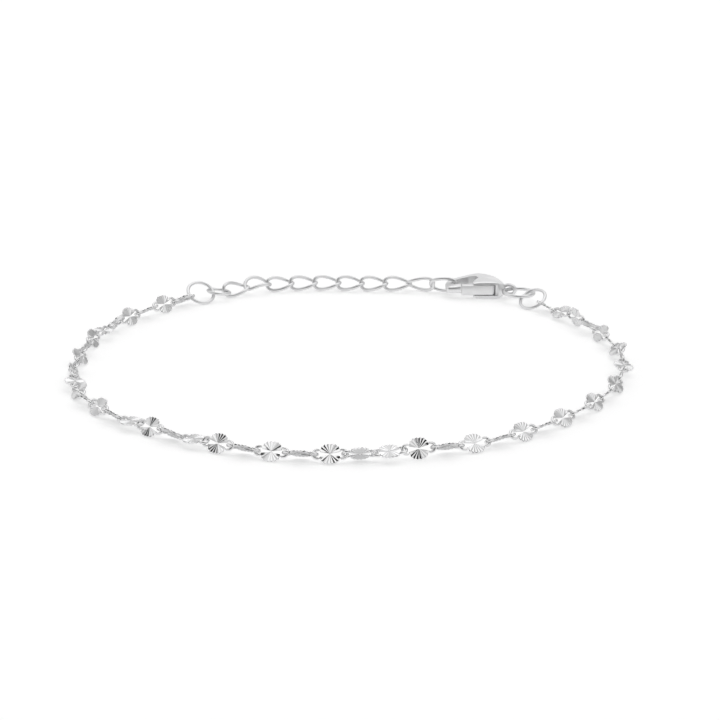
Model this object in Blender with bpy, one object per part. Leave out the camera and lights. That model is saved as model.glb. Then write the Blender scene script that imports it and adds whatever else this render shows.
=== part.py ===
"""A silver chain bracelet, closed by its lobster clasp and lying on a surface as one loop.

Metres, +Z up. The wide front of the loop is at -Y, the clasp and the extension chain are at +Y.
"""

import math

import bmesh
import bpy
import numpy as np
from mathutils import Matrix, Vector

MM = 0.001

# Disc links: oval wire links with their long sides flattened into two fluted half-disc fans.
LINK_LENGTH = 4.18 * MM
LINK_WIRE = 0.33 * MM
DISC_WIDTH = 2.50 * MM
DISC_LENGTH = 2.36 * MM
DISC_SQUARENESS = 2.8
RIDGE_THICKNESS = 0.26 * MM
VALLEY_THICKNESS = 0.15 * MM
VALLEY_DEPTH = 0.05 * MM
RIM_ROUND = 0.04 * MM
WAIST_GAP = 0.07 * MM
SLOT_ANGLE = 13.0
LIP_REACH = 0.92
FAN_CORNER_ANGLE = 38.0
FAN_LINES = 7
WIRE_ROOT_WIDTH = 0.42
WIRE_ROOT_STEP = 0.35
WIRE_ROOT_TURN = 60.0
SHOULDER_REACH = 0.65
SHOULDER_WIDTH = 0.83
LINK_SIDES = 5

# The route of the disc chain: where every third link lies, as its number, then x and y in millimetres.
# The other links lie on the smooth curve between them.
DISC_ROUTE = (
    (1, -23.1, 21.8),
    (4, -29.4, 14.1),
    (7, -33.2, 4.9),
    (10, -34.3, -4.8),
    (13, -33.1, -14.3),
    (16, -28.3, -22.6),
    (19, -21.2, -29.0),
    (22, -12.9, -33.8),
    (25, -3.3, -35.7),
    (28, 6.5, -34.5),
    (31, 15.7, -30.4),
    (34, 23.2, -23.8),
    (37, 28.9, -15.4),
    (40, 31.8, -5.8),
    (43, 31.1, 4.2),
    (46, 27.5, 13.5),
    (48, 24.15, 19.2),
)

# How far each named link is turned about the chain, in degrees. Neighbours stand about 90 degrees apart,
# less where the chain twists.
DISC_ROLL = (
    (1, 39),
    (2, 121),
    (3, 212),
    (4, 302),
    (7, 655),
    (9, 855),
    (11, 1020),
    (13, 1125),
    (14, 1223),
    (15, 1305),
    (16, 1398),
    (17, 1445),
    (18, 1492),
    (19, 1578),
    (20, 1625),
    (21, 1672),
    (22, 1765),
    (23, 1845),
    (24, 1946),
    (25, 2025),
    (26, 2109),
    (27, 2174),
    (28, 2234),
    (29, 2305),
    (30, 2381),
    (31, 2488),
    (32, 2566),
    (33, 2668),
    (34, 2746),
    (35, 2847),
    (36, 2926),
    (38, 3105),
    (40, 3254),
    (42, 3386),
    (43, 3466),
    (44, 3550),
    (46, 3684),
    (47, 3750),
    (48, 3810),
)

# The chain's two ends, where its first and last links hang in their rings: x, y and z in millimetres.
FIRST_JOINT = (-21.94, 23.08, 0.97)
LAST_JOINT = (23.40, 20.67, 0.93)

# Round jump rings: name, diameter, wire, centre in millimetres, then how far the ring is tilted from flat
# about X and about Y, in degrees.
RING_SIDES = 14
RING_WIRE_SIDES = 6
END_RING_DIAMETER = 3.88 * MM
END_RING_WIRE = 0.44 * MM
EXTENSION_RING_DIAMETER = 3.28 * MM
EXTENSION_RING_WIRE = 0.44 * MM
LARGE_RING_DIAMETER = 4.38 * MM
LARGE_RING_WIRE = 0.48 * MM
SMALL_RING_DIAMETER = 3.82 * MM
SMALL_RING_WIRE = 0.42 * MM
RINGS = (
    ("end_ring", END_RING_DIAMETER, END_RING_WIRE, -20.86, 24.08, 1.25, 30.35, 19.3),
    ("extension_ring", EXTENSION_RING_DIAMETER, EXTENSION_RING_WIRE, -18.56, 25.173, 1.05, -5.8, 6.2),
    ("clasp_ring_large", LARGE_RING_DIAMETER, LARGE_RING_WIRE, 20.82, 24.33, 1.18, -1.4, 1.1),
    ("clasp_ring_small", SMALL_RING_DIAMETER, SMALL_RING_WIRE, 22.50, 21.81, 1.09, 21.2, -23.2),
)

# Extension chain: ten twisted oval links that touch end to end. The last one lies round the clasp's hook.
CURB_LENGTH = 3.95 * MM
CURB_WIDTH = 2.36 * MM
CURB_WIRE = 0.46 * MM
CURB_SQUARENESS = 2.5
CURB_SIDES = 14
CURB_WIRE_SIDES = 6
CURB_TOUCH = 0.07 * MM
ROUTE_STEPS = 900
# The route of the extension chain, x, y and z in millimetres, from its first link to the clasp's hook.
EXTENSION_ROUTE = (
    (-17.8, 25.95, 1.00),
    (-14.9, 27.40, 1.02),
    (-11.8, 28.70, 1.02),
    (-5.9, 29.3, 1.02),
    (0.5, 29.0, 1.02),
    (6.5, 28.7, 1.08),
    (9.6, 28.1, 1.18),
    (13.8, 26.9, 1.40),
)
# Each link's turn about the chain at its middle and its twist from end to end, both in degrees, and how far
# its middle arches up, in millimetres.
EXTENSION_LINKS = (
    (36, 84, 0.0),
    (20, 40, 0.6),
    (36, 84, 0.0),
    (36, 84, 0.0),
    (36, 84, 0.0),
    (36, 84, 0.0),
    (36, 84, 0.0),
    (36, 84, 0.0),
    (118, 60, 0.0),
    (108, 30, 0.0),
)

# Lobster clasp, lying on one cheek. Plan points are in millimetres from the hook's outer end (x = 0) and
# the gate line (y = 0).
CLASP_PLACE = Vector((11.2, 25.1, 0.0)) * MM
CLASP_THICKNESS = 2.30 * MM
LOWER_CHEEK = 0.50 * MM
UPPER_CHEEK = 0.40 * MM
CLASP_OUTLINE = (
    (0.45, 0.02),
    (2.05, 0.00),
    (3.70, 0.00),
    (5.50, 0.00),
    (7.00, 0.02),
    (7.65, 0.25),
    (7.98, 0.85),
    (7.55, 2.15),
    (6.70, 3.35),
    (5.60, 4.35),
    (4.30, 4.85),
    (2.90, 4.85),
    (1.60, 4.45),
    (0.65, 3.70),
    (0.15, 2.75),
    (0.05, 1.75),
    (0.10, 0.65),
)
# The clasp seen from its side: x, then the heights of its underside and its top.
CLASP_SIDE = (
    (0.0, 0.84, 1.68),
    (1.2, 0.80, 1.76),
    (2.2, 0.74, 1.86),
    (3.5, 0.00, 2.14),
    (4.6, 0.00, 2.30),
    (6.6, 0.00, 2.30),
    (7.1, 0.00, 2.22),
    (8.0, 0.40, 1.90),
)
CLASP_CROWN = Vector((5.20, 2.40)) * MM
# Its levels: the share of the height there, and how far the outline is drawn in.
CLASP_LEVELS = ((0.0, 0.38), (0.19, 0.08), (0.5, 0.0), (0.81, 0.08), (1.0, 0.38))
# The hollow that the hook encloses, right through, and the slot between the cheeks that the lever turns in.
HOLLOW_OUTLINE = (
    (2.08, -1.0),
    (2.08, 1.00),
    (1.04, 1.15),
    (0.88, 1.90),
    (1.08, 2.80),
    (2.10, 3.50),
    (3.20, 3.80),
    (4.15, 3.60),
    (4.45, 2.80),
    (3.85, 1.70),
    (3.66, 0.80),
    (3.66, -1.0),
)
SLOT_OUTLINE = ((3.30, -1.1), (3.30, 2.60), (5.00, 1.97), (7.06, 1.30), (7.06, -1.1))
# The upright eye at the clasp's tail.
EYE_PLACE = Vector((8.48, 0.91, 1.10)) * MM
EYE_LENGTH = 2.10 * MM
EYE_HEIGHT = 1.74 * MM
EYE_WIRE = 0.46 * MM
EYE_DEPTH = 0.60 * MM
EYE_TURN = -26.0
EYE_SIDES = 14

# The lever fills the gate between the hook's tip and the pin, and swings into the claw.
PIN_PLACE = Vector((6.00, 0.52, 0.0)) * MM
PIN_DIAMETER = 0.44 * MM
PIN_CLEARANCE = 0.04 * MM
PIN_INSET = 0.05 * MM
PIN_BLIND = 0.5
PIN_SIDES = 10
LEVER_GAP = 0.08 * MM
LEVER_DEPTH = 0.98 * MM
LEVER_FRONT = 0.03 * MM
LEVER_BEVEL = 0.16 * MM

SILVER = (0.86, 0.86, 0.87, 1.0)
SILVER_ROUGHNESS = 0.22


def silver(name, roughness=SILVER_ROUGHNESS):
    material = bpy.data.materials.new(name)
    material.use_nodes = True
    shader = material.node_tree.nodes["Principled BSDF"]
    shader.inputs["Base Color"].default_value = SILVER
    shader.inputs["Metallic"].default_value = 1.0
    shader.inputs["Roughness"].default_value = roughness
    return material


def new_object(name, bm, parent):
    bmesh.ops.recalc_face_normals(bm, faces=bm.faces)
    mesh = bpy.data.meshes.new(name)
    bm.to_mesh(mesh)
    bm.free()
    mesh.materials.append(silver(name))
    mesh.shade_smooth()
    mesh.set_sharp_from_angle(angle=math.radians(35))
    obj = bpy.data.objects.new(name, mesh)
    bpy.context.scene.collection.objects.link(obj)
    obj.parent = parent
    return obj


def cutter(name, bm, parent):
    obj = new_object(name, bm, parent)
    obj.hide_render = True
    obj.display_type = "WIRE"
    return obj


def boolean(obj, other, operation):
    modifier = obj.modifiers.new(other.name, "BOOLEAN")
    modifier.object = other
    modifier.operation = operation
    modifier.solver = "EXACT"


def skin_loop(bm, sections):
    """Closes a run of like sections, each a ring of points, into one band with no ends."""
    rings = [[bm.verts.new(point) for point in section] for section in sections]
    for here, there in zip(rings, rings[1:] + rings[:1]):
        for k in range(len(here)):
            bm.faces.new((here[k - 1], here[k], there[k], there[k - 1]))


def wire_loop(bm, points, radius, sides, flat=None):
    """A round wire along a closed run of points. flat stretches each section along that direction."""
    count = len(points)
    centre = sum(points, Vector()) / count
    sections = []
    for i, point in enumerate(points):
        along = (points[(i + 1) % count] - points[i - 1]).normalized()
        out = point - centre
        out = (out - out.dot(along) * along).normalized()
        side = along.cross(out)
        section = []
        for k in range(sides):
            angle = math.tau * (k + 0.5) / sides
            offset = radius * (math.cos(angle) * out + math.sin(angle) * side)
            if flat:
                offset += flat * offset.dot(flat) / flat.length
            section.append(point + offset)
        sections.append(section)
    skin_loop(bm, sections)


def natural_curve(parameters, places, wanted):
    """Points at the wanted parameters of the smooth curve through the places."""
    parameters = np.array(parameters, float)
    places = np.array(places, float)
    steps = np.diff(parameters)
    count = len(parameters)
    system = np.eye(count)
    right = np.zeros((count, places.shape[1]))
    for i in range(1, count - 1):
        system[i, i - 1 : i + 2] = steps[i - 1], 2 * (steps[i - 1] + steps[i]), steps[i]
        slopes = (places[i + 1] - places[i]) / steps[i] - (places[i] - places[i - 1]) / steps[i - 1]
        right[i] = 6 * slopes
    bends = np.linalg.solve(system, right)
    found = []
    for value in wanted:
        i = min(max(int(np.searchsorted(parameters, value)) - 1, 0), count - 2)
        a = parameters[i + 1] - value
        b = value - parameters[i]
        h = steps[i]
        point = (bends[i] * a**3 + bends[i + 1] * b**3) / (6 * h)
        point += (places[i] / h - bends[i] * h / 6) * a + (places[i + 1] / h - bends[i + 1] * h / 6) * b
        found.append(point)
    return np.array(found)


def wire_section(place, outward):
    up = Vector((0, 0, 1))
    turns = [math.tau * k / LINK_SIDES for k in range(LINK_SIDES)]
    return [place + LINK_WIRE / 2 * (math.cos(t) * outward + math.sin(t) * up) for t in turns]


def fan_section(angle, ridge, lip):
    """One line of a fan: rim, upper face, inner edge and lower face. A lip line ends on the slot side."""
    out = Vector((math.cos(angle), math.sin(angle), 0))
    up = Vector((0, 0, 1))
    power = DISC_SQUARENESS
    squared = abs(2 * out.x / DISC_LENGTH) ** power + abs(2 * out.y / DISC_WIDTH) ** power
    rim = squared ** (-1 / power) - (0 if ridge else VALLEY_DEPTH)
    half = (RIDGE_THICKNESS if ridge else VALLEY_THICKNESS) / 2
    slope = math.tan(math.radians(SLOT_ANGLE))
    if lip:
        reach = LIP_REACH * DISC_LENGTH / 2
        half_gap = WAIST_GAP / 2 + slope * reach
        inner = Vector((math.copysign(reach, out.x), math.copysign(half_gap, out.y), 0))
    else:
        inner = out * WAIST_GAP / 2 / (abs(out.y) - slope * abs(out.x))
    inner_half = VALLEY_THICKNESS / 2 + (half - VALLEY_THICKNESS / 2) * inner.length / rim
    return [
        out * rim,
        out * (rim - RIM_ROUND) + up * half,
        inner + up * inner_half,
        inner - up * inner_half,
        out * (rim - RIM_ROUND) - up * half,
    ]


def disc_link_sections():
    """The link round its own closed line: one fan, a wire end, the other fan, the other wire end."""
    root_turn = math.radians(WIRE_ROOT_TURN)
    corner_angle = math.radians(FAN_CORNER_ANGLE)
    root_out = Vector((-math.cos(root_turn), math.sin(root_turn), 0))
    root_reach = LIP_REACH * DISC_LENGTH / 2 + WIRE_ROOT_STEP * LINK_WIRE
    root = Vector((-root_reach, WIRE_ROOT_WIDTH * DISC_WIDTH / 2, 0))
    tip = Vector((LINK_WIRE / 2 - LINK_LENGTH / 2, 0, 0))
    shoulder = Vector((root.x + SHOULDER_REACH * (tip.x - root.x), SHOULDER_WIDTH * root.y, 0))
    shoulder_out = Vector((tip.y - root.y, root.x - tip.x, 0)).normalized()
    shoulder_out.x = -abs(shoulder_out.x)
    wire = (
        (root, root_out),
        (shoulder, shoulder_out),
        (tip, Vector((-1, 0, 0))),
        (Vector((shoulder.x, -shoulder.y, 0)), Vector((shoulder_out.x, -shoulder_out.y, 0))),
        (Vector((root.x, -root.y, 0)), Vector((root_out.x, -root_out.y, 0))),
    )
    sections = []
    for half_turn in (0, math.pi):
        turned = Matrix.Rotation(half_turn, 3, "Z")
        for k in range(FAN_LINES):
            angle = corner_angle + k / (FAN_LINES - 1) * (math.pi - 2 * corner_angle)
            sections.append(fan_section(angle + half_turn, k % 2 == 0, k in (0, FAN_LINES - 1)))
        for place, outward in wire:
            sections.append(wire_section(turned @ place, turned @ outward))
    return sections


def chain_frame(start, end, roll):
    """A matrix that lays a link from start to end, with its plane turned about the chain by roll."""
    along = (end - start).normalized()
    level = Vector((0, 0, 1)).cross(along).normalized()
    upright = along.cross(level)
    across = math.cos(roll) * level + math.sin(roll) * upright
    turned = Matrix((along, across, along.cross(across))).transposed().to_4x4()
    return Matrix.Translation((start + end) / 2) @ turned


def build_disc_chain(root):
    links = DISC_ROUTE[-1][0]
    numbers = [row[0] for row in DISC_ROUTE]
    places = [row[1:] for row in DISC_ROUTE]
    joints = natural_curve(numbers, places, np.arange(links + 1) + 0.5) * MM
    rolls = np.radians(np.interp(np.arange(1, links + 1), *zip(*DISC_ROLL)))
    heights = DISC_WIDTH / 2 * np.abs(np.sin(rolls)) + RIDGE_THICKNESS / 2 * np.abs(np.cos(rolls))
    padded = np.concatenate([heights[:1], heights, heights[-1:]])
    joint_heights = np.maximum(padded[:-1], padded[1:])
    joints[0], joint_heights[0] = np.array(FIRST_JOINT[:2]) * MM, FIRST_JOINT[2] * MM
    joints[-1], joint_heights[-1] = np.array(LAST_JOINT[:2]) * MM, LAST_JOINT[2] * MM
    ends = [Vector((x, y, z)) for (x, y), z in zip(joints, joint_heights)]
    for i in range(links):
        bm = bmesh.new()
        skin_loop(bm, disc_link_sections())
        link = new_object(f"disc_link_{i + 1:02d}", bm, root)
        link.matrix_local = chain_frame(ends[i], ends[i + 1], rolls[i])


def ring_points(diameter, wire, sides):
    radius = (diameter - wire) / 2
    turns = [math.tau * k / sides for k in range(sides)]
    return [Vector((radius * math.cos(t), radius * math.sin(t), 0)) for t in turns]


def build_rings(root):
    for name, diameter, wire, x, y, z, tilt_x, tilt_y in RINGS:
        bm = bmesh.new()
        wire_loop(bm, ring_points(diameter, wire, RING_SIDES), wire / 2, RING_WIRE_SIDES)
        ring = new_object(name, bm, root)
        turn = Matrix.Rotation(math.radians(tilt_y), 4, "Y") @ Matrix.Rotation(math.radians(tilt_x), 4, "X")
        ring.matrix_local = Matrix.Translation(Vector((x, y, z)) * MM) @ turn


def curb_points(twist):
    """The closed line of an oval link that is twisted about its length."""
    reach = (CURB_LENGTH - CURB_WIRE) / 2
    half_width = (CURB_WIDTH - CURB_WIRE) / 2
    power = 2 / CURB_SQUARENESS
    points = []
    for k in range(CURB_SIDES):
        turn = math.tau * k / CURB_SIDES
        x = reach * math.copysign(abs(math.cos(turn)) ** power, math.cos(turn))
        y = half_width * math.copysign(abs(math.sin(turn)) ** power, math.sin(turn))
        angle = -twist / 2 * x / reach
        points.append(Vector((x, y * math.cos(angle), y * math.sin(angle))))
    return points


def add_curb_link(bm, frame, twist, arch):
    reach = (CURB_LENGTH - CURB_WIRE) / 2
    points = []
    for point in curb_points(twist):
        lift = arch * (1 - (point.x / reach) ** 2)
        points.append(frame @ point + Vector((0, 0, lift)))
    wire_loop(bm, points, CURB_WIRE / 2, CURB_WIRE_SIDES)


def build_extension(root):
    pitch = CURB_LENGTH - 2 * CURB_WIRE + CURB_TOUCH
    rows = len(EXTENSION_ROUTE)
    route = natural_curve(range(rows), EXTENSION_ROUTE, np.linspace(0, rows - 1, ROUTE_STEPS)) * MM
    joints = [route[0]]
    for point in route:
        if np.linalg.norm(point - joints[-1]) >= pitch:
            joints.append(point)
    halves = [bmesh.new(), bmesh.new()]
    links_that_fit = len(joints) - 1
    for i, (roll, twist, arch) in enumerate(EXTENSION_LINKS[:links_that_fit]):
        frame = chain_frame(Vector(joints[i]), Vector(joints[i + 1]), math.radians(roll))
        add_curb_link(halves[i % 2], frame, math.radians(twist), arch * MM)
    chain = new_object("extension_chain", halves[0], root)
    boolean(chain, cutter("extension_other_links", halves[1], root), "UNION")


def prism(outline, low, high):
    bm = bmesh.new()
    face = bm.faces.new([bm.verts.new((x * MM, y * MM, low)) for x, y in outline])
    raised = bmesh.ops.extrude_face_region(bm, geom=[face])["geom"]
    moved = [item for item in raised if isinstance(item, bmesh.types.BMVert)]
    bmesh.ops.translate(bm, verts=moved, vec=(0, 0, high - low))
    return bm


def round_bar(place, diameter, low, high, sides):
    bm = bmesh.new()
    bmesh.ops.create_cone(
        bm,
        cap_ends=True,
        segments=sides,
        radius1=diameter / 2,
        radius2=diameter / 2,
        depth=high - low,
        matrix=Matrix.Translation((place.x, place.y, (low + high) / 2)),
    )
    return bm


def clasp_shell():
    """The claw before it is hollowed: its outline at five levels, rounded over at the top and the bottom."""
    outline = [Vector(row) * MM for row in CLASP_OUTLINE]
    count = len(outline)
    stations, undersides, tops = zip(*CLASP_SIDE)
    bm = bmesh.new()
    levels = []
    for height, inset in CLASP_LEVELS:
        level = []
        for i, place in enumerate(outline):
            along = (outline[(i + 1) % count] - outline[i - 1]).normalized()
            inward = Vector((-along.y, along.x)) * inset * MM
            low = float(np.interp(place.x / MM, stations, undersides)) * MM
            high = float(np.interp(place.x / MM, stations, tops)) * MM
            moved = place + inward
            level.append(bm.verts.new((moved.x, moved.y, low + height * (high - low))))
        levels.append(level)
    for low, high in zip(levels, levels[1:]):
        for i in range(count):
            bm.faces.new((low[i - 1], low[i], high[i], high[i - 1]))
    for level, height in ((levels[0], 0.0), (levels[-1], CLASP_THICKNESS)):
        crown = bm.verts.new((CLASP_CROWN.x, CLASP_CROWN.y, height))
        for i in range(count):
            bm.faces.new((level[i - 1], level[i], crown))
    return bm


def eye_loop():
    """The upright loop at the claw's tail, deeper along the clasp's width than its wire is thick."""
    reach = (EYE_LENGTH - EYE_WIRE) / 2
    rise = (EYE_HEIGHT - EYE_WIRE) / 2
    turns = [math.tau * k / EYE_SIDES for k in range(EYE_SIDES)]
    turned = Matrix.Rotation(math.radians(EYE_TURN), 3, "Z")
    points = [EYE_PLACE + turned @ Vector((reach * math.cos(t), 0, rise * math.sin(t))) for t in turns]
    bm = bmesh.new()
    deeper = turned @ Vector((0, EYE_DEPTH / EYE_WIRE - 1, 0))
    wire_loop(bm, points, EYE_WIRE / 2, RING_WIRE_SIDES, flat=deeper)
    return bm


def build_clasp(root):
    clasp = bpy.data.objects.new("clasp_frame", None)
    bpy.context.scene.collection.objects.link(clasp)
    clasp.parent = root
    clasp.location = CLASP_PLACE
    over = CLASP_THICKNESS
    slot_low = LOWER_CHEEK
    slot_high = CLASP_THICKNESS - UPPER_CHEEK
    pin_top = slot_high + PIN_BLIND * UPPER_CHEEK
    body = new_object("clasp_body", clasp_shell(), clasp)
    boolean(body, cutter("clasp_eye", eye_loop(), clasp), "UNION")
    boolean(body, cutter("clasp_slot", prism(SLOT_OUTLINE, slot_low, slot_high), clasp), "DIFFERENCE")
    boolean(body, cutter("clasp_hollow", prism(HOLLOW_OUTLINE, -over, 2 * over), clasp), "DIFFERENCE")
    bore = round_bar(PIN_PLACE, PIN_DIAMETER + 2 * PIN_CLEARANCE, -over, pin_top + PIN_CLEARANCE, PIN_SIDES)
    boolean(body, cutter("clasp_pin_bore", bore, clasp), "DIFFERENCE")
    pin = round_bar(PIN_PLACE, PIN_DIAMETER, PIN_INSET, pin_top, PIN_SIDES)
    new_object("clasp_pin", pin, clasp)
    build_lever(clasp, slot_low + LEVER_GAP, slot_high - LEVER_GAP)


def build_lever(clasp, low, high):
    """A bar with a round rear end on the pin's axis, and its edges taken off."""
    tip = HOLLOW_OUTLINE[0][0] * MM + LEVER_GAP - PIN_PLACE.x
    front = LEVER_FRONT - PIN_PLACE.y
    back = front + LEVER_DEPTH
    middle = (front + back) / 2
    outline = [(tip, front), (0, front)]
    for turn in (-60, -30, 0, 30, 60):
        angle = math.radians(turn)
        outline.append((LEVER_DEPTH / 2 * math.cos(angle), middle + LEVER_DEPTH / 2 * math.sin(angle)))
    outline += [(0, back), (tip, back)]
    bm = prism([(x / MM, y / MM) for x, y in outline], low, high)
    edges = [edge for edge in bm.edges if abs(edge.verts[0].co.z - edge.verts[1].co.z) < 0.01 * MM]
    bmesh.ops.bevel(bm, geom=edges, offset=LEVER_BEVEL, segments=1, profile=0.5, affect="EDGES", material=-1)
    lever = new_object("clasp_lever", bm, clasp)
    lever.location = (PIN_PLACE.x, PIN_PLACE.y, 0)
    bore = round_bar(PIN_PLACE, PIN_DIAMETER + 2 * PIN_CLEARANCE, -high, 2 * high, PIN_SIDES)
    boolean(lever, cutter("lever_pin_bore", bore, clasp), "DIFFERENCE")


def settle(root):
    """Moves the whole bracelet so that it rests on z = 0 with its box centred on the origin."""
    bpy.context.view_layer.update()
    corners = []
    for obj in bpy.data.objects:
        if obj.type == "MESH" and not obj.hide_render:
            corners += [obj.matrix_world @ vertex.co for vertex in obj.data.vertices]
    low = [min(corner[axis] for corner in corners) for axis in range(3)]
    high = [max(corner[axis] for corner in corners) for axis in range(3)]
    root.location = (-(low[0] + high[0]) / 2, -(low[1] + high[1]) / 2, -low[2])


def main():
    for obj in list(bpy.data.objects):
        bpy.data.objects.remove(obj)
    root = bpy.data.objects.new("bracelet", None)
    bpy.context.scene.collection.objects.link(root)
    build_disc_chain(root)
    build_rings(root)
    build_extension(root)
    build_clasp(root)
    settle(root)


main()
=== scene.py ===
"""A silver chain bracelet, closed by its lobster clasp and lying on a pale table as one loop."""

import math

import bmesh
import bpy
import numpy as np
from mathutils import Matrix, Vector


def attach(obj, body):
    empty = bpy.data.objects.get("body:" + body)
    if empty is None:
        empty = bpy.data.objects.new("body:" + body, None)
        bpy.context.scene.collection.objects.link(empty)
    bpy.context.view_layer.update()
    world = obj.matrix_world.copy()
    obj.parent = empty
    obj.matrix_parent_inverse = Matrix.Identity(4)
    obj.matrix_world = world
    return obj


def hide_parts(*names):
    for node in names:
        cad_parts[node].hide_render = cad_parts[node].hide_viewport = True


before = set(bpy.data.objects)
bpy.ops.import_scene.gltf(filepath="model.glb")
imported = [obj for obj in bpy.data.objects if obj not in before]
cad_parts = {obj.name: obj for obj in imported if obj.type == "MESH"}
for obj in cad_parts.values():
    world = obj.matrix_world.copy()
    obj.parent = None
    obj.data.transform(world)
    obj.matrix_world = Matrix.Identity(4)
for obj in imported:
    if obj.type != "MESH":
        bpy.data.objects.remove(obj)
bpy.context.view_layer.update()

# Disc links. Each is an oval of round silver wire whose two long sides are pressed into thin half-round fans,
# and both faces of a fan are diamond-cut into eight ridges with seven flutes between them. They hang in each
# other by their wire ends, about a quarter turn apart. About half come down to the table, the others stay above.
MM = 0.001
WELD = 0.001 * MM
LINK_COUNT = 48
LINK_LENGTH = 4.18 * MM
LINK_WIRE = 0.33 * MM
DISC_LENGTH = 2.36 * MM
DISC_WIDTH = 2.50 * MM
DISC_SQUARENESS = 2.8
RIDGE_HALF = 0.130 * MM
VALLEY_HALF = 0.062 * MM
CENTRE_HALF = 0.085 * MM
SCALLOP = 0.09 * MM
WAIST_GAP = 0.07 * MM
SLOT_SLOPE = math.tan(math.radians(13))
LIP_REACH = 0.46 * DISC_LENGTH
FAN_LINES = 15
FAN_CORNER = math.radians(22)
WIRE_ROOT = Vector((-1.20, 0.525, 0)) * MM
WIRE_SHOULDER = Vector((-1.67, 0.436, 0)) * MM
ROOT_OUT = Vector((-0.5, 0.866, 0))
SHOULDER_OUT = Vector((-0.72, 0.694, 0))
WIRE_STEPS = 4
ROUND_STEPS = 16
# A fan line from rim to slot: how far in, as a share of the line, and the share of its thickness.
FAN_PROFILE = ((0, 0), (0.012, 0.65), (0.05, 1), (0.28, 1), (0.52, 1), (0.76, 1), (0.95, 1), (1, 0.6), (1, 0))
CLOUD_SCALE = 900.0
CLOUD_SHADE = 0.94
GRAIN_SHARE = 0.4
GRAIN_STRENGTH = 0.35


class Field:
    """A value that varies over a surface. Sums and products of fields add the shader's Math nodes."""

    def __init__(self, tree, socket=None):
        self.tree = tree
        self.socket = socket

    def node(self, kind, settings, inputs, output=0):
        made = self.tree.nodes.new(kind)
        for name, value in settings.items():
            setattr(made, name, value)
        for name, value in inputs.items():
            if isinstance(value, Field):
                self.tree.links.new(value.socket, made.inputs[name])
            else:
                made.inputs[name].default_value = value
        return Field(self.tree, made.outputs[output])

    def math(self, operation, first, second):
        return self.node("ShaderNodeMath", {"operation": operation}, {0: first, 1: second})

    def __add__(self, other):
        return self.math("ADD", self, other)

    def __radd__(self, other):
        return self.math("ADD", other, self)

    def __sub__(self, other):
        return self.math("SUBTRACT", self, other)

    def __rmul__(self, other):
        return self.math("MULTIPLY", other, self)


def silver(name, colour, edge, polish, cloudiness, grain, grain_height):
    """Polished silver. Its polish clouds softly, and it keeps the fine grain of how it was finished."""
    material = bpy.data.materials.new(name)
    material.use_nodes = True
    tree = material.node_tree
    shader = tree.nodes["Principled BSDF"]
    shader.inputs["Metallic"].default_value = 1.0
    shader.inputs["Specular Tint"].default_value = (edge, edge, edge, 1.0)
    field = Field(tree)
    place = field.node("ShaderNodeTexCoord", {}, {}, "Object")
    clouds = field.node("ShaderNodeTexNoise", {}, {"Vector": place, "Scale": CLOUD_SCALE, "Detail": 2.0}, "Fac")
    grains = field.node("ShaderNodeTexNoise", {}, {"Vector": place, "Scale": grain, "Detail": 3.0}, "Fac")
    shade = field.node(
        "ShaderNodeMix",
        {"data_type": "RGBA"},
        {0: clouds, 6: (*colour, 1.0), 7: (*(CLOUD_SHADE * part for part in colour), 1.0)},
        2,
    )
    tree.links.new(shade.socket, shader.inputs["Base Color"])
    roughness = polish + cloudiness * (clouds - 0.5) + GRAIN_SHARE * cloudiness * (grains - 0.5)
    tree.links.new(roughness.socket, shader.inputs["Roughness"])
    bump = field.node(
        "ShaderNodeBump", {}, {"Strength": GRAIN_STRENGTH, "Distance": grain_height, "Height": grains}
    )
    tree.links.new(bump.socket, shader.inputs["Normal"])
    return material


def first_ring(bm, points):
    ring = [bm.verts.new(point) for point in points]
    return ring, [bm.edges.new((ring[k - 1], ring[k])) for k in range(len(ring))]


def next_ring(bm, ring, edges, points):
    """Extrudes a ring of edges and moves the new ring to its points."""
    made = bmesh.ops.extrude_edge_only(bm, edges=edges)["geom"]
    fresh = {item for item in made if isinstance(item, bmesh.types.BMVert)}
    ring = [next(e.other_vert(v) for e in v.link_edges if e.other_vert(v) in fresh) for v in ring]
    for vertex, point in zip(ring, points):
        vertex.co = point
    return ring, [bm.edges.get((ring[k - 1], ring[k])) for k in range(len(ring))]


def loft(bm, sections):
    """Extrudes a ring of edges from section to section and merges the last ring on the first."""
    ring, edges = first_ring(bm, sections[0])
    for section in sections[1:] + sections[:1]:
        ring, edges = next_ring(bm, ring, edges, section)
    bmesh.ops.remove_doubles(bm, verts=bm.verts, dist=WELD)
    bmesh.ops.recalc_face_normals(bm, faces=bm.faces)


def smooth_run(keys, steps, closed=False):
    """Sections on the smooth curves that run through the key sections, point by point."""
    keys = np.array(keys)
    count = len(keys)
    found = []
    for i in range(count if closed else count - 1):
        if closed:
            a, b, c, d = (keys[(i + k) % count] for k in (-1, 0, 1, 2))
        else:
            a, b, c, d = (keys[min(max(i + k, 0), count - 1)] for k in (-1, 0, 1, 2))
        for t in np.arange(steps) / steps:
            bend = (2 * a - 5 * b + 4 * c - d) * t**2 + (3 * b - 3 * c + d - a) * t**3
            found.append(0.5 * (2 * b + (c - a) * t + bend))
    if not closed:
        found.append(keys[-1])
    return [[Vector(point) for point in section] for section in found]


def finish(name, bm, material, body, nodes, sharp=40):
    """Makes the finished piece, which rides on its body and stands for its nodes."""
    mesh = bpy.data.meshes.new(name)
    bm.to_mesh(mesh)
    bm.free()
    mesh.shade_smooth()
    mesh.set_sharp_from_angle(angle=math.radians(sharp))
    mesh.materials.append(material)
    piece = bpy.data.objects.new(name, mesh)
    bpy.context.scene.collection.objects.link(piece)
    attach(piece, body)
    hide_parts(*nodes)


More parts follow.
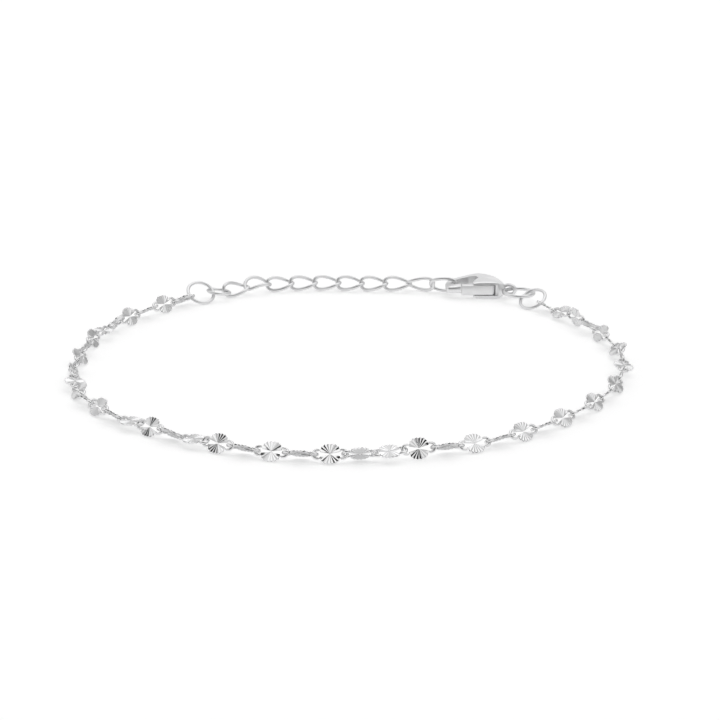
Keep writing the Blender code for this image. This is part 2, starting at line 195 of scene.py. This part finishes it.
def fan_line(angle, ridge, lip):
    out = Vector((math.cos(angle), math.sin(angle), 0))
    across = abs(2 * out.y / DISC_WIDTH) ** DISC_SQUARENESS
    squared = abs(2 * out.x / DISC_LENGTH) ** DISC_SQUARENESS + across
    rim = squared ** (-1 / DISC_SQUARENESS) - (0 if ridge else SCALLOP)
    if lip:
        half_gap = WAIST_GAP / 2 + SLOT_SLOPE * LIP_REACH
        inner = Vector((math.copysign(LIP_REACH, out.x), math.copysign(half_gap, out.y), 0))
    else:
        inner = out * WAIST_GAP / 2 / (abs(out.y) - SLOT_SLOPE * abs(out.x))
    upper = []
    for share, thickness in FAN_PROFILE:
        point = (out * rim).lerp(inner, share)
        half = CENTRE_HALF + ((RIDGE_HALF if ridge else VALLEY_HALF) - CENTRE_HALF) * point.length / rim
        upper.append(point + Vector((0, 0, half * thickness)))
    lower = [Vector((p.x, p.y, -p.z)) for p in upper[-2:0:-1]]
    return upper + lower


def wire_ring(place, outward):
    turns = [math.tau * k / ROUND_STEPS for k in range(ROUND_STEPS)]
    up = Vector((0, 0, 1))
    return [place + LINK_WIRE / 2 * (math.cos(t) * outward + math.sin(t) * up) for t in turns]


def disc_link():
    tip = Vector((LINK_WIRE / 2 - LINK_LENGTH / 2, 0, 0))
    fan = []
    for k in range(FAN_LINES):
        angle = FAN_CORNER + k / (FAN_LINES - 1) * (math.pi - 2 * FAN_CORNER)
        fan.append(fan_line(angle, k % 2 == 0, k in (0, FAN_LINES - 1)))
    other_lip = [Vector((p.x, -p.y, p.z)) for p in fan[-1]]
    flip = Matrix.Diagonal((1, -1, 1))
    wire = [
        fan[-1],
        wire_ring(WIRE_ROOT, ROOT_OUT),
        wire_ring(WIRE_SHOULDER, SHOULDER_OUT),
        wire_ring(tip, Vector((-1, 0, 0))),
        wire_ring(flip @ WIRE_SHOULDER, flip @ SHOULDER_OUT),
        wire_ring(flip @ WIRE_ROOT, flip @ ROOT_OUT),
        other_lip,
    ]
    half = fan + smooth_run(wire, WIRE_STEPS)[1:-1]
    bm = bmesh.new()
    loft(bm, half + [[Vector((-p.x, -p.y, p.z)) for p in section] for section in half])
    return bm


def main_axes(node):
    """A matrix to a node's middle, with its longest way as X and its thinnest as Z."""
    points = np.array([vertex.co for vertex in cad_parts[node].data.vertices])
    middle = points.mean(axis=0)
    axes = np.linalg.eigh(np.cov((points - middle).T))[1]
    long_way, thin_way = Vector(axes[:, 2]), Vector(axes[:, 0])
    turned = Matrix((long_way, thin_way.cross(long_way), thin_way)).transposed().to_4x4()
    return Matrix.Translation(Vector(middle)) @ turned


cut_silver = silver(
    "diamond_cut_silver",
    (0.81, 0.81, 0.815),
    edge=0.58,
    polish=0.10,
    cloudiness=0.10,
    grain=9000.0,
    grain_height=0.006 * MM,
)
for number in range(1, LINK_COUNT + 1):
    node = f"disc_link_{number:02d}"
    link = disc_link()
    link.transform(main_axes(node))
    finish(f"cut_link_{number:02d}", link, cut_silver, "bracelet", [node], sharp=28)

# Jump rings. Four plain rings of round silver wire, bent round and closed: two join the disc chain to the
# extension chain, and two join it to the clasp. They hang loosely in each other, each tilted its own way.
RING_SIZES = {
    "end_ring": (3.88 * MM, 0.44 * MM),
    "extension_ring": (3.28 * MM, 0.44 * MM),
    "clasp_ring_large": (4.38 * MM, 0.48 * MM),
    "clasp_ring_small": (3.82 * MM, 0.42 * MM),
}
RING_STEPS = 56
wire_silver = silver(
    "drawn_wire_silver",
    (0.81, 0.81, 0.815),
    edge=0.74,
    polish=0.36,
    cloudiness=0.12,
    grain=6000.0,
    grain_height=0.006 * MM,
)
for node, (diameter, wire) in RING_SIZES.items():
    ring = bmesh.new()
    middle_line = (diameter - wire) / 2
    upright = Matrix.Translation((middle_line, 0, 0)) @ Matrix.Rotation(math.pi / 2, 4, "X")
    bmesh.ops.create_circle(ring, segments=ROUND_STEPS, radius=wire / 2, matrix=upright)
    bmesh.ops.spin(
        ring,
        geom=ring.verts[:] + ring.edges[:],
        cent=(0, 0, 0),
        axis=(0, 0, 1),
        angle=math.tau,
        steps=RING_STEPS,
        use_merge=True,
    )
    bmesh.ops.recalc_face_normals(ring, faces=ring.faces)
    ring.transform(main_axes(node))
    finish(node.replace("ring", "round_ring"), ring, wire_silver, "bracelet", [node])

# Extension chain. Ten oval links of round wire, each twisted about its length like a curb chain's and hung in
# the next. The first hangs in its jump ring, and the last two stand more on edge, up to the clasp's hook.
CURB_LENGTH = 3.95 * MM
CURB_WIDTH = 2.36 * MM
CURB_WIRE = 0.46 * MM
CURB_SQUARENESS = 2.5
CURB_STEPS = 44
CURB_HANGS = (
    (-16.64, 29.09, 1.00),
    (-13.85, 30.48, 1.02),
    (-11.00, 31.75, 1.02),
    (-7.94, 32.26, 1.02),
    (-4.80, 32.44, 1.02),
    (-1.68, 32.35, 1.02),
    (1.42, 32.15, 1.02),
    (4.55, 32.00, 1.04),
    (7.66, 31.84, 1.08),
    (10.72, 31.25, 1.18),
    (13.73, 30.39, 1.33),
)
# Each link's turn about the chain and its twist from end to end, in degrees, and its arch in millimetres.
USUAL_TURN = (36, 84, 0.0)
CURB_TURNS = (USUAL_TURN, (20, 40, 0.6), *[USUAL_TURN] * 6, (118, 60, 0.0), (108, 30, 0.0))


def wire_sections(points, wire):
    """Round sections at right angles to a closed line of points."""
    middle = sum(points, Vector()) / len(points)
    turns = [math.tau * k / ROUND_STEPS for k in range(ROUND_STEPS)]
    sections = []
    for k, point in enumerate(points):
        along = (points[(k + 1) % len(points)] - points[k - 1]).normalized()
        out = point - middle
        out = (out - out.dot(along) * along).normalized()
        side = along.cross(out)
        sections.append([point + wire / 2 * (math.cos(t) * out + math.sin(t) * side) for t in turns])
    return sections


def curb_link(start, end, roll, twist, arch):
    along = (end - start).normalized()
    level = Vector((0, 0, 1)).cross(along).normalized()
    across = math.cos(roll) * level + math.sin(roll) * along.cross(level)
    turned = Matrix((along, across, along.cross(across))).transposed()
    reach = (CURB_LENGTH - CURB_WIRE) / 2
    half_width = (CURB_WIDTH - CURB_WIRE) / 2
    power = 2 / CURB_SQUARENESS
    line = []
    for k in range(CURB_STEPS):
        turn = math.tau * (k + 0.5) / CURB_STEPS
        x = reach * math.copysign(abs(math.cos(turn)) ** power, math.cos(turn))
        y = half_width * math.copysign(abs(math.sin(turn)) ** power, math.sin(turn))
        angle = -twist / 2 * x / reach
        lift = arch * (1 - (x / reach) ** 2)
        place = (start + end) / 2 + turned @ Vector((x, y * math.cos(angle), y * math.sin(angle)))
        line.append(place + Vector((0, 0, lift)))
    bm = bmesh.new()
    loft(bm, wire_sections(line, CURB_WIRE))
    return bm


for number, (roll, twist, arch) in enumerate(CURB_TURNS):
    start, end = (Vector(CURB_HANGS[number + k]) * MM for k in (0, 1))
    link = curb_link(start, end, math.radians(roll), math.radians(twist), arch * MM)
    finish(f"curb_link_{number + 1:02d}", link, wire_silver, "bracelet", ["extension_chain"])

# Lobster clasp. One silver casting, tumbled smooth: a hook, two cheeks that hold the lever, and an upright eye
# at the tail. It lies on its lower cheek. Its sizes are in millimetres, from its own corner.
CLASP_PLACE = Vector((12.364, 28.24, 0.0))
CLASP_TO_SCENE = Matrix.Scale(MM, 4) @ Matrix.Translation(CLASP_PLACE)
CLASP_THICKNESS = 2.30
LOWER_CHEEK = 0.50
UPPER_CHEEK = 0.40
SLOT_TOP = CLASP_THICKNESS - UPPER_CHEEK
CLASP_OUTLINE = (
    (0.45, 0.02),
    (2.05, 0.00),
    (3.70, 0.00),
    (5.50, 0.00),
    (7.00, 0.02),
    (7.65, 0.25),
    (7.98, 0.85),
    (7.55, 2.15),
    (6.70, 3.35),
    (5.60, 4.35),
    (4.30, 4.85),
    (2.90, 4.85),
    (1.60, 4.45),
    (0.65, 3.70),
    (0.15, 2.75),
    (0.05, 1.75),
    (0.10, 0.65),
)
OUTLINE_STEPS = 5
# The casting from its side: x, then the heights of its underside and its top.
CLASP_SIDE = (
    (0.0, 0.84, 1.68),
    (1.2, 0.80, 1.76),
    (2.2, 0.74, 1.86),
    (3.6, 0.30, 2.14),
    (3.9, 0.08, 2.20),
    (4.3, 0.00, 2.26),
    (4.6, 0.00, 2.30),
    (6.6, 0.00, 2.30),
    (7.1, 0.00, 2.22),
    (8.0, 0.40, 1.90),
)
CLASP_CROWN = (5.20, 2.40)
CLASP_LEVELS = (-1.0, -0.93, -0.8, -0.6, -0.3, 0.0, 0.3, 0.6, 0.8, 0.93, 1.0)
EDGE_DRAW = 0.38
EDGE_POWER = 2.2
HOLLOW_OUTLINE = (
    (2.08, -1.0),
    (2.08, 1.00),
    (1.04, 1.15),
    (0.88, 1.90),
    (1.08, 2.80),
    (2.10, 3.50),
    (3.20, 3.80),
    (4.15, 3.60),
    (4.45, 2.80),
    (3.85, 1.70),
    (3.66, 0.80),
    (3.66, 0.45),
    (3.76, 0.18),
    (4.00, 0.00),
    (4.00, -1.0),
)
SLOT_OUTLINE = (
    (3.30, -1.1),
    (3.30, 2.60),
    (5.00, 1.97),
    (6.59, 1.44),
    (6.59, 0.38),
    (6.96, 0.22),
    (6.98, -1.1),
)
EYE_PLACE = Vector((8.48, 0.91, 1.10))
EYE_LENGTH = 2.10
EYE_HEIGHT = 1.74
EYE_WIRE = 0.46
EYE_DEPTH = 0.60
EYE_TURN = math.radians(-26)
EYE_STEPS = 40
PIN_PLACE = Vector((6.00, 0.52))
PIN_DIAMETER = 0.44
PIN_CLEARANCE = 0.04
PIN_TOP = CLASP_THICKNESS - UPPER_CHEEK / 2
PIN_STEPS = 24
BORE_DIAMETER = PIN_DIAMETER + 2 * PIN_CLEARANCE
CLEAR_BELOW = -1.0
CLEAR_ABOVE = 4.0
CAST_GRAIN = 0.045


def loose(name, bm):
    """A shape in millimetres that only helps to make a piece of the clasp."""
    mesh = bpy.data.meshes.new(name)
    bm.to_mesh(mesh)
    bm.free()
    shape = bpy.data.objects.new(name, mesh)
    bpy.context.scene.collection.objects.link(shape)
    return shape


def plate(outline, low, high):
    bm = bmesh.new()
    face = bm.faces.new([bm.verts.new((x, y, low)) for x, y in outline])
    raised = bmesh.ops.extrude_face_region(bm, geom=[face])["geom"]
    moved = [item for item in raised if isinstance(item, bmesh.types.BMVert)]
    bmesh.ops.translate(bm, verts=moved, vec=(0, 0, high - low))
    bmesh.ops.recalc_face_normals(bm, faces=bm.faces)
    return bm


def pin_bar(diameter, low, high):
    """An upright round bar on the rivet's axis."""
    bm = bmesh.new()
    bmesh.ops.create_cone(
        bm,
        cap_ends=True,
        segments=PIN_STEPS,
        radius1=diameter / 2,
        radius2=diameter / 2,
        depth=high - low,
        matrix=Matrix.Translation((PIN_PLACE.x, PIN_PLACE.y, (low + high) / 2)),
    )
    return bm


def claw():
    """The casting before it is cut: its outline drawn in towards the top and the bottom."""
    corners = [[(x, y, 0)] for x, y in CLASP_OUTLINE]
    outline = [section[0].to_2d() for section in smooth_run(corners, OUTLINE_STEPS, closed=True)]
    stations, undersides, tops = zip(*CLASP_SIDE)
    levels = []
    for height in CLASP_LEVELS:
        draw = EDGE_DRAW * (1 - (1 - abs(height) ** EDGE_POWER) ** (1 / EDGE_POWER))
        level = []
        for k, place in enumerate(outline):
            along = (outline[(k + 1) % len(outline)] - outline[k - 1]).normalized()
            moved = place + Vector((-along.y, along.x)) * draw
            low = float(np.interp(place.x, stations, undersides))
            high = float(np.interp(place.x, stations, tops))
            level.append(Vector((moved.x, moved.y, (low + high) / 2 + height * (high - low) / 2)))
        levels.append(level)
    bm = bmesh.new()
    ring, bottom = first_ring(bm, levels[0])
    top = bottom
    for level in levels[1:]:
        ring, top = next_ring(bm, ring, top, level)
    for rim, height in ((bottom, 0.0), (top, CLASP_THICKNESS)):
        made = bmesh.ops.extrude_edge_only(bm, edges=rim)["geom"]
        fresh = [item for item in made if isinstance(item, bmesh.types.BMVert)]
        bmesh.ops.pointmerge(bm, verts=fresh, merge_co=(*CLASP_CROWN, height))
    bmesh.ops.recalc_face_normals(bm, faces=bm.faces)
    return bm


def eye():
    turned = Matrix.Rotation(EYE_TURN, 3, "Z")
    reach = (EYE_LENGTH - EYE_WIRE) / 2
    rise = (EYE_HEIGHT - EYE_WIRE) / 2
    line = []
    for k in range(EYE_STEPS):
        turn = math.tau * k / EYE_STEPS
        line.append(EYE_PLACE + turned @ Vector((reach * math.cos(turn), 0, rise * math.sin(turn))))
    deeper = turned @ Vector((0, 1, 0))
    sections = wire_sections(line, EYE_WIRE)
    for section, place in zip(sections, line):
        for point in section:
            point += deeper * deeper.dot(point - place) * (EYE_DEPTH / EYE_WIRE - 1)
    bm = bmesh.new()
    loft(bm, sections)
    return bm


def work(shape, tools):
    """Joins each tool to a shape or cuts it out of it."""
    for tool, operation in tools:
        modifier = shape.modifiers.new(tool.name, "BOOLEAN")
        modifier.object = tool
        modifier.operation = operation
        modifier.solver = "EXACT"


def worked(shape, tools):
    """The worked shape in metres, where the clasp lies. The shape and its tools are removed."""
    evaluated = shape.evaluated_get(bpy.context.evaluated_depsgraph_get())
    bm = bmesh.new()
    bm.from_mesh(evaluated.to_mesh())
    bm.transform(CLASP_TO_SCENE)
    for spent in [shape] + [tool for tool, operation in tools]:
        bpy.data.objects.remove(spent)
    return bm


cast_silver = silver(
    "tumbled_cast_silver",
    (0.84, 0.84, 0.845),
    edge=0.80,
    polish=0.44,
    cloudiness=0.10,
    grain=4000.0,
    grain_height=0.008 * MM,
)
casting = loose("clasp_casting", claw())
cast_tools = [
    (loose("eye", eye()), "UNION"),
    (loose("slot", plate(SLOT_OUTLINE, LOWER_CHEEK, SLOT_TOP)), "DIFFERENCE"),
    (loose("hollow", plate(HOLLOW_OUTLINE, CLEAR_BELOW, CLEAR_ABOVE)), "DIFFERENCE"),
    (loose("bore", pin_bar(BORE_DIAMETER, CLEAR_BELOW, PIN_TOP + PIN_CLEARANCE)), "DIFFERENCE"),
]
work(casting, cast_tools)
cast = casting.modifiers.new("cast", "REMESH")
cast.mode = "VOXEL"
cast.voxel_size = CAST_GRAIN
cast.use_smooth_shade = True
tumble = casting.modifiers.new("tumble", "SMOOTH")
tumble.iterations = 5
tumble.factor = 0.5
finish("clasp_casting", worked(casting, cast_tools), cast_silver, "bracelet", ["clasp_body"], sharp=180)

# Rivet. A short silver pin with rounded rims, on which the lever turns. It goes through the lower cheek and the
# lever and is blind in the upper cheek. It lies just inside the lower cheek's face and shows only from below.
RIVET_INSET = 0.05
RIVET_EDGE = 0.04
SAME_HEIGHT = 0.001


def file_off(bm, edges, width, steps):
    bmesh.ops.bevel(bm, geom=edges, offset=width, segments=steps, profile=0.5, affect="EDGES", material=-1)


def level_edges(bm):
    return [edge for edge in bm.edges if abs(edge.verts[0].co.z - edge.verts[1].co.z) < SAME_HEIGHT]


rivet = pin_bar(PIN_DIAMETER, RIVET_INSET, PIN_TOP)
file_off(rivet, level_edges(rivet), RIVET_EDGE, 3)
rivet.transform(CLASP_TO_SCENE)
finish("clasp_rivet", rivet, cast_silver, "bracelet", ["clasp_pin"])

# Lever. A small cast bar, drilled for the rivet, that turns on it and closes the gate against the hook's tip.
# Its long edges are filed off, and its rear end is round.
LEVER_GAP = 0.08
LEVER_DEPTH = 0.98
LEVER_FRONT = 0.03
LEVER_BEVEL = 0.11
LEVER_EDGE = 0.03
SHARP_EDGE = math.radians(25)
CHEEK_GAP = 0.035
LEVER_TIP = HOLLOW_OUTLINE[0][0] + LEVER_GAP
lever_outline = [(LEVER_TIP, LEVER_FRONT), (PIN_PLACE.x, LEVER_FRONT)]
for turn in range(-75, 76, 15):
    angle = math.radians(turn)
    x = PIN_PLACE.x + LEVER_DEPTH / 2 * math.cos(angle)
    y = LEVER_FRONT + LEVER_DEPTH / 2 + LEVER_DEPTH / 2 * math.sin(angle)
    lever_outline.append((x, y))
lever_outline += [(PIN_PLACE.x, LEVER_FRONT + LEVER_DEPTH), (LEVER_TIP, LEVER_FRONT + LEVER_DEPTH)]
bar = plate(lever_outline, LOWER_CHEEK + CHEEK_GAP, SLOT_TOP - CHEEK_GAP)
file_off(bar, level_edges(bar), LEVER_BEVEL, 1)
file_off(bar, [edge for edge in bar.edges if edge.calc_face_angle(0) > SHARP_EDGE], LEVER_EDGE, 2)
lever = loose("solid_lever", bar)
lever_tools = [(loose("hole", pin_bar(BORE_DIAMETER, CLEAR_BELOW, CLEAR_ABOVE)), "DIFFERENCE")]
work(lever, lever_tools)
finish("clasp_lever_bar", worked(lever, lever_tools), cast_silver, "lever", ["clasp_lever"])

# Table. A plain sheet of white paper, laid flat and much larger than the view.
# It glows a little, as if lit from below, so that the ground comes out white round the soft shadows.
TABLE_REACH = 2.0
sheet = bmesh.new()
bmesh.ops.create_grid(sheet, x_segments=1, y_segments=1, size=TABLE_REACH)
mesh = bpy.data.meshes.new("table")
sheet.to_mesh(mesh)
sheet.free()
table = bpy.data.objects.new("table", mesh)
bpy.context.scene.collection.objects.link(table)
paper = bpy.data.materials.new("white_paper")
paper.use_nodes = True
shader = paper.node_tree.nodes["Principled BSDF"]
shader.inputs["Base Color"].default_value = (0.74, 0.74, 0.74, 1)
shader.inputs["Roughness"].default_value = 0.9
shader.inputs["Specular IOR Level"].default_value = 0.1
shader.inputs["Emission Color"].default_value = (1, 1, 1, 1)
shader.inputs["Emission Strength"].default_value = 0.40
mesh.materials.append(paper)

# Studio light. A pale grey tent with soft white panels, a dim right side, dark openings round the lens, and one
# large soft lamp above and behind. The openings are placed so that they show in some flutes of the front links.
TENT = 0.69
DARKEST = 0.02
# Each panel's azimuth and rise in degrees, the cosines where it begins and is full, and what it adds.
PANELS = (
    ("top", 100, 76, 0.66, 0.90, 0.50),
    ("back", 172, 14, 0.80, 0.95, 0.28),
    ("left side", -105, 25, 0.85, 0.95, 0.25),
    ("right side", 122, 12, 0.74, 0.92, -0.16),
    ("lens", -9, 15, 0.90, 0.95, -0.66),
    ("left of the lens", -31, 46, 0.925, 0.96, -0.66),
    ("right of the lens", 20, 34, 0.955, 0.975, -0.66),
)


def way_to(azimuth, rise):
    """The direction at an azimuth, in degrees from the front towards the right, and a rise."""
    azimuth, rise = math.radians(azimuth), math.radians(rise)
    return Vector((math.sin(azimuth) * math.cos(rise), -math.cos(azimuth) * math.cos(rise), math.sin(rise)))


world = bpy.data.worlds.new("tent")
bpy.context.scene.world = world
world.use_nodes = True
field = Field(world.node_tree)
way = field.node("ShaderNodeTexCoord", {}, {}, "Generated")
level = TENT
for name, azimuth, rise, outside, inside, gain in PANELS:
    facing = field.node(
        "ShaderNodeVectorMath", {"operation": "DOT_PRODUCT"}, {0: way, 1: way_to(azimuth, rise)}, "Value"
    )
    panel = field.node(
        "ShaderNodeMapRange",
        {"interpolation_type": "SMOOTHSTEP"},
        {"Value": facing, "From Min": outside, "From Max": inside, "To Min": 0.0, "To Max": gain},
    )
    level = level + panel
level = level.math("MAXIMUM", level, DARKEST)
background = world.node_tree.nodes["Background"]
background.inputs["Color"].default_value = (1, 1, 1, 1)
world.node_tree.links.new(level.socket, background.inputs["Strength"])

lamp = bpy.data.lights.new("softbox", "AREA")
lamp.shape = "RECTANGLE"
lamp.size = 0.50
lamp.size_y = 0.40
lamp.energy = 0.16
softbox = bpy.data.objects.new("softbox", lamp)
bpy.context.scene.collection.objects.link(softbox)
softbox.location = (-0.10, 0.30, 0.50)
softbox.rotation_euler = (Vector((0, 0, 0)) - softbox.location).to_track_quat("-Z", "Y").to_euler()

# Camera. It stands in front of the loop at the photograph's angle, with a long lens,
# and looks down on it by 18.5 degrees.
CAMERA_AIM = Vector((1.164, 3.14, 0.0)) * MM
CAMERA_DISTANCE = 0.330
CAMERA_RISE = math.radians(18.5)
camera_data = bpy.data.cameras.new("camera")
camera_data.sensor_width = 36
camera_data.lens = 134.5
camera_data.clip_start = 0.01
camera = bpy.data.objects.new("camera", camera_data)
bpy.context.scene.collection.objects.link(camera)
camera_way = Vector((0, -math.cos(CAMERA_RISE), math.sin(CAMERA_RISE)))
camera.location = CAMERA_AIM + CAMERA_DISTANCE * camera_way
camera.rotation_euler = (math.pi / 2 - CAMERA_RISE, 0, 0)
bpy.context.scene.camera = camera
bpy.context.scene.view_settings.view_transform = "Standard"
